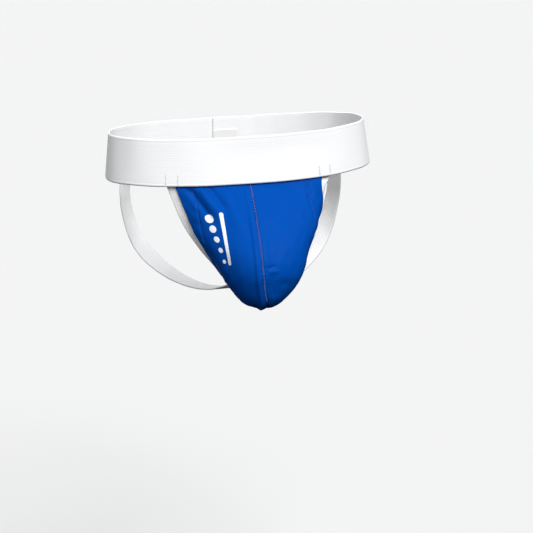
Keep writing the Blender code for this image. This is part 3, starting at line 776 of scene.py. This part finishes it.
strap_finish = elastic_finish("leg_elastic_woven", (0.87, 0.87, 0.875), 0.0022, TAPE_RIB / 2, 0.86, 0.00014)
strap_across = np.linspace(-1, 1, TAPE_COLUMNS)[None, :]
strap_edge = (1 - np.abs(strap_across)) * TAPE_WIDTH / 2
for side, sign in SIDES.items():
    strap, strap_run = strap_grid(side)
    relief = 0.00007 * np.cos(2 * math.pi * strap_run / TAPE_RIB)[:, None] * ease((strap_edge - 0.001) / 0.001)
    relief = relief + 0.00010 * bump(strap_edge - 0.0008, 0.0009) - 0.00012 * bump(strap_edge - 0.0024, 0.0006)
    relief = relief + 0.00015 * soft_noise(strap_run[:, None] / 0.03, strap_edge / 0.04, 31)
    points = strap + grid_normals(strap) * sign * relief[..., None]
    uv = np.stack(np.broadcast_arrays(strap_run[:, None], strap_across * TAPE_WIDTH / 2), -1)
    strap_piece = cloth(f"leg_elastic_{side}_woven", points, uv, TAPE_THICK, strap_finish,
                        flip=side == "right", even=False)
    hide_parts(f"leg_elastic_{side}")

# ==== Base tab ==============================================================================
# A short tab of woven tape under the crotch, which ties the panels' point to the two leg
# elastics. It curls up a little at its front.
TAB_ROWS = ((0.084, -0.1556, 22), (0.070, -0.1556, 18), (0.054, -0.1545, 10), (0.038, -0.1517, 3),
            (0.022, -0.1537, 0))
TAB_HALF_WIDTH = 0.011

tab_share = np.linspace(0, 1, 90)
tab_forward, tab_height, tab_curl = (station([row[k] for row in TAB_ROWS], tab_share)[:, None] for k in range(3))
tab_x = np.linspace(TAB_HALF_WIDTH, -TAB_HALF_WIDTH, 27)[None, :]
tab_relief = 0.00012 * bump(TAB_HALF_WIDTH - np.abs(tab_x) - 0.001, 0.0009)
tab_relief = tab_relief + 0.00006 * np.cos(2 * math.pi * tab_forward / TAPE_RIB)
points = np.stack(np.broadcast_arrays(tab_x, -tab_forward, tab_height + tab_curl * tab_x ** 2 - tab_relief), -1)
uv = np.stack(np.broadcast_arrays(run_along(points)[:, None], tab_x), -1)
tab = cloth("base_tab_woven", points, uv, 0.0012, strap_finish)
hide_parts("base_tab")

# ==== Pocket lining =========================================================================
# The inner wall of the cup pocket: one layer of white warp-knit mesh, sewn to both tapes, with
# a band of soft tape round its mouth. The cup slips in between it and the blue panels.
LINING_TOP = 0.17
LINING_END = 0.80
LINING_BULGE = -0.003
LINING_INSET = 0.0042
LINING_THICK = 0.0010
BINDING_ABOVE = 0.055        # stations from the lining's top up to the binding's upper edge
MESH_PITCH = 0.0026


def lining_rows(v, columns, forward):
    """Across the back of the pocket, from one edge of the pouch to the other."""
    ends = [pouch_point(0.0, v, side) - pouch_normal(0.0 * v, v, side) * LINING_INSET for side in SIDES]
    share = np.linspace(0, 1, columns)[None, :, None]
    rows = ends[0][:, None] * (1 - share) + ends[1][:, None] * share
    rows[..., 1] -= LINING_BULGE * (1 - (1 - 2 * share[..., 0]) ** 2) + forward
    return rows


lining_v = np.linspace(LINING_TOP, LINING_END, 120)
lining_share = np.linspace(1, -1, 110)[None, :]
lining_wave = soft_noise(lining_share / 0.45, lining_v[:, None] / 0.22, 41)
lining_slack = -0.0004 * (1 + lining_wave) * (1 - lining_share ** 4)
points = lining_rows(lining_v, 110, lining_slack)
uv = np.stack(np.broadcast_arrays(points[..., 0], run_along(points)[:, None]), -1)
mesh_knit = Finish("white_mesh_knit", (0.76, 0.77, 0.78), 0.85, sheen=0.25, specular=0.2)
mesh_warp = mesh_knit.wave(mesh_knit.on_cloth(turn=math.radians(45)), MESH_PITCH / math.sqrt(2))
mesh_weft = mesh_knit.wave(mesh_knit.on_cloth(turn=math.radians(-45)), MESH_PITCH / math.sqrt(2))
mesh_open = mesh_knit.times(mesh_warp, mesh_weft)
mesh_knit.relief(mesh_open, -0.0004, 0.8)
# Painted shade: the openings of the mesh are coloured a dark grey-blue for the shade seen through them.
mesh_knit.colour(mesh_knit.mix(mesh_knit.spread(mesh_open, 0.45, 0.85),
                               (0.80, 0.81, 0.82), (0.26, 0.29, 0.36)))
lining = cloth("pocket_lining_mesh", points, uv, LINING_THICK, mesh_knit.material)
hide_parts("pocket_lining")

binding_v = np.linspace(LINING_TOP - BINDING_ABOVE, LINING_TOP - 0.003, 24)
binding_gather = 0.0003 * np.sin(np.linspace(1, -1, 180) * 34)[None, :] * np.linspace(1, 0.2, 24)[:, None]
points = lining_rows(binding_v, 180, 0.0005 + binding_gather)
uv = np.stack(np.broadcast_arrays(points[..., 0], run_along(points)[:, None]), -1)
binding = cloth("pocket_mouth_tape", points, uv, LINING_THICK * 2, tape_finish)
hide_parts("pocket_mouth_binding")
binding_out = -grid_normals(points)[12]
mouth_path = points[12] + binding_out * (LINING_THICK * 2 + 0.0002)
stitch_row("pocket_mouth_thread", mouth_path, binding_out, 0.0024, 0.0027, 0.0004, white_thread, "thread_white",
           turn=math.radians(38), zigzag=True)

# ==== Cup shell =============================================================================
# The hard cup: one injection moulding of tough white plastic, egg-shaped, wide end up, with
# ten round vents inside two shallow ribs. It lifts out of the pocket.
CUP_RIM_TOP = Vector((0, -0.1010, -0.052))
CUP_RIM_BOTTOM = Vector((0, -0.0985, -0.139))
CUP_HALF_WIDTH = 0.0362
CUP_TAPER = 0.27
CUP_DEPTH = 0.040
CUP_ROUNDNESS = 2.1
CUP_DROP = 0.017
CUP_THICK = 0.0028
VENT_RADIUS = 0.0035
VENT_ROWS = ((0.020, 2), (0.004, 3), (-0.012, 3), (-0.028, 2))
VENT_STEP = 0.016
RIB_HEIGHT = 0.0007

cup_middle = (CUP_RIM_TOP + CUP_RIM_BOTTOM) / 2
cup_up = (CUP_RIM_TOP - CUP_RIM_BOTTOM).normalized()
cup_forward = Vector((1, 0, 0)).cross(cup_up)
cup_half_height = (CUP_RIM_TOP - CUP_RIM_BOTTOM).length / 2


def cup_outline(angle, inset=0.0):
    x = (CUP_HALF_WIDTH - inset) * math.cos(angle) * (1 + CUP_TAPER * math.sin(angle))
    return cup_middle + Vector((x, 0, 0)) + cup_up * (cup_half_height - inset) * math.sin(angle)


def add_dome(bm, inset, ribbed):
    """One face of the cup's wall; the outer one has two shallow stiffening ribs round its vents."""
    made = bmesh.ops.create_uvsphere(bm, u_segments=96, v_segments=72, radius=1.0)
    bmesh.ops.delete(bm, geom=[v for v in made["verts"] if v.co.z < -0.001], context="VERTS")
    verts = [v for v in made["verts"] if v.is_valid]
    for vert in verts:
        angle = math.atan2(vert.co.y, vert.co.x)
        share = min(math.hypot(vert.co.x, vert.co.y), 1.0)
        depth = CUP_DEPTH - inset - (RIB_HEIGHT if ribbed else 0)
        if ribbed:
            ribs = float(bump(share - 0.86, 0.035) + bump(share - 0.76, 0.035))
            depth += RIB_HEIGHT * ribs * min(1, 2 * (1 - share) / 0.3)
        height = depth * (1 - share ** CUP_ROUNDNESS) ** (1 / CUP_ROUNDNESS)
        drop = CUP_DROP * height / CUP_DEPTH
        vert.co = (cup_middle + (cup_outline(angle, inset) - cup_middle) * share
                   + cup_forward * height - cup_up * drop)
    if inset:
        bmesh.ops.reverse_faces(bm, faces=list({f for v in verts for f in v.link_faces}))
    return list({e for v in verts for e in v.link_edges if e.is_boundary})


bm = bmesh.new()
cup_rims = [add_dome(bm, 0.0, True), add_dome(bm, CUP_THICK, False)]
bmesh.ops.bridge_loops(bm, edges=cup_rims[0] + cup_rims[1])
moulded = Finish("moulded_cup_plastic", (0.84, 0.84, 0.82), 0.36, specular=0.5)
moulded_grain = moulded.noise(moulded.on_object(), 2600.0, 3.0)
moulded_cloud = moulded.noise(moulded.on_object(), 30.0)
moulded.relief(moulded_grain, 0.00006, 0.5)
moulded.colour(moulded.mix(moulded.spread(moulded_cloud, 0.3, 0.7), (0.80, 0.80, 0.78), (0.86, 0.86, 0.845)))
moulded.roughness(moulded.spread(moulded_grain, 0.3, 0.7, 0.30, 0.44))
cup_shell = finish_piece("cup_shell_moulded", bm, "cup", moulded.material)
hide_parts("cup_shell")

bm = bmesh.new()
vent_turn = Vector((0, 0, 1)).rotation_difference(cup_forward).to_matrix()
for row, count in VENT_ROWS:
    for i in range(count):
        place = cup_middle + cup_forward * CUP_DEPTH + cup_up * row
        place.x += (i - (count - 1) / 2) * VENT_STEP
        drill = bmesh.ops.create_cone(bm, cap_ends=True, segments=32, radius1=VENT_RADIUS, radius2=VENT_RADIUS,
                                      depth=0.05)
        bmesh.ops.rotate(bm, verts=drill["verts"], matrix=vent_turn)
        bmesh.ops.translate(bm, verts=drill["verts"], vec=place)
drill_mesh = bpy.data.meshes.new("vent_drill")
bm.to_mesh(drill_mesh)
bm.free()
vent_drill = bpy.data.objects.new("vent_drill", drill_mesh)
scene.collection.objects.link(vent_drill)
vents = cup_shell.modifiers.new("vents", "BOOLEAN")
vents.solver = "EXACT"
vents.object = vent_drill
rounded = cup_shell.modifiers.new("rounded", "BEVEL")
rounded.width = 0.0006
rounded.segments = 2
rounded.limit_method = "ANGLE"
rounded.angle_limit = math.radians(50)
cut_mesh = bpy.data.meshes.new_from_object(cup_shell.evaluated_get(bpy.context.evaluated_depsgraph_get()))
cup_shell.modifiers.clear()
cup_shell.data = cut_mesh
cup_shell.data.shade_smooth()
cup_shell.data.set_sharp_from_angle(angle=math.radians(38))
bpy.data.objects.remove(vent_drill)

# ==== Cup edge pad ==========================================================================
# A hollow bulb of grey thermoplastic rubber moulded over the cup's rim, so that the hard edge
# never touches the wearer. It has a parting line outside and fine grip ribs across it.
PAD_RADIUS = 0.0045
PAD_GAP = 0.0003

bm = bmesh.new()
pad_turns = np.linspace(0, 2 * math.pi, 240, endpoint=False)
pad_centres = np.array([cup_outline(a, CUP_THICK / 2) - cup_forward * (PAD_RADIUS + PAD_GAP)
                        for a in pad_turns])
pad_ways = unit(np.roll(pad_centres, -1, axis=0) - np.roll(pad_centres, 1, axis=0))
back = np.array(cup_forward)
pad_sides = unit(np.cross(pad_ways, back))
bmesh.ops.create_grid(bm, x_segments=240, y_segments=28, size=0.5)
for vert in bm.verts:
    i = round((vert.co.x + 0.5) * 240) % 240
    turn = 2 * math.pi * (vert.co.y + 0.5)
    groove = 0.00035 * float(bump(math.sin(turn), 0.10)) * (math.cos(turn) > 0)
    rib = 0.00012 * math.cos(2 * math.pi * i / 3) * (0.5 - 0.5 * math.sin(turn))
    radius = PAD_RADIUS - 0.00012 - groove + rib
    vert.co = pad_centres[i] + radius * (pad_sides[i] * math.cos(turn) + back * math.sin(turn))
bmesh.ops.remove_doubles(bm, verts=bm.verts, dist=1e-7)
bmesh.ops.recalc_face_normals(bm, faces=bm.faces)
rubber = Finish("grey_rubber", (0.17, 0.18, 0.20), 0.62, specular=0.4)
rubber_grain = rubber.noise(rubber.on_object(), 1800.0, 3.0)
rubber.relief(rubber_grain, 0.00008, 0.6)
rubber.colour(rubber.mix(rubber.spread(rubber_grain, 0.3, 0.7), (0.14, 0.15, 0.17), (0.20, 0.21, 0.235)))
rubber.roughness(rubber.spread(rubber_grain, 0.3, 0.7, 0.55, 0.70))
cup_pad = finish_piece("cup_edge_pad_rubber", bm, "cup", rubber.material)
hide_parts("cup_edge_pad")

# ==== Floor and light =======================================================================
# A plain pale floor well below the worn piece, a broad soft key light from the wearer's left
# front, weaker ones from the other side and from behind, and pale air above a dim floor glow.
# The floor throws no bounced light, so that the underside stays in shade.
FLOOR_Z = -0.60
FLOOR_RADIUS = 60.0
AIR_ABOVE = 0.55
AIR_BELOW = 0.03

bm = bmesh.new()
bmesh.ops.create_circle(bm, cap_ends=True, segments=96, radius=FLOOR_RADIUS)
bmesh.ops.translate(bm, verts=bm.verts, vec=(0, 0, FLOOR_Z))
floor_mesh = bpy.data.meshes.new("floor")
bm.to_mesh(floor_mesh)
bm.free()
floor = bpy.data.objects.new("floor", floor_mesh)
scene.collection.objects.link(floor)
floor.visible_diffuse = False
floor.visible_glossy = False
pale = Finish("pale_floor", (0.62, 0.62, 0.62), 0.9, specular=0.0)
pale.colour(pale.mix(pale.noise(pale.on_object(), 3.0), (0.615, 0.615, 0.615), (0.625, 0.625, 0.625)))
floor.data.materials.append(pale.material)


def soft_sun(name, way, strength, spread):
    """Even light that travels from the direction way, from a source spread degrees across."""
    lamp = bpy.data.lights.new(name, "SUN")
    lamp.energy = strength
    lamp.angle = math.radians(spread)
    made = bpy.data.objects.new(name, lamp)
    scene.collection.objects.link(made)
    made.rotation_euler = (-Vector(way)).to_track_quat("-Z", "Y").to_euler()


soft_sun("key", (0.26, -0.69, 0.67), 3.5, 36)
soft_sun("fill", (-0.85, -0.45, 0.35), 0.8, 60)
soft_sun("back", (0.10, 0.85, 0.50), 1.0, 60)

world = bpy.data.worlds.new("pale_air")
world.use_nodes = True
air = world.node_tree.nodes
height = air.new("ShaderNodeSeparateXYZ")
shade = air.new("ShaderNodeMapRange")
world.node_tree.links.new(air.new("ShaderNodeTexCoord").outputs["Generated"], height.inputs["Vector"])
world.node_tree.links.new(height.outputs["Z"], shade.inputs["Value"])
for socket, number in (("From Min", -0.05), ("From Max", 0.70), ("To Min", AIR_BELOW), ("To Max", AIR_ABOVE)):
    shade.inputs[socket].default_value = number
world.node_tree.links.new(shade.outputs["Result"], air["Background"].inputs["Strength"])
air["Background"].inputs["Color"].default_value = (0.97, 0.98, 1.0, 1)
scene.world = world
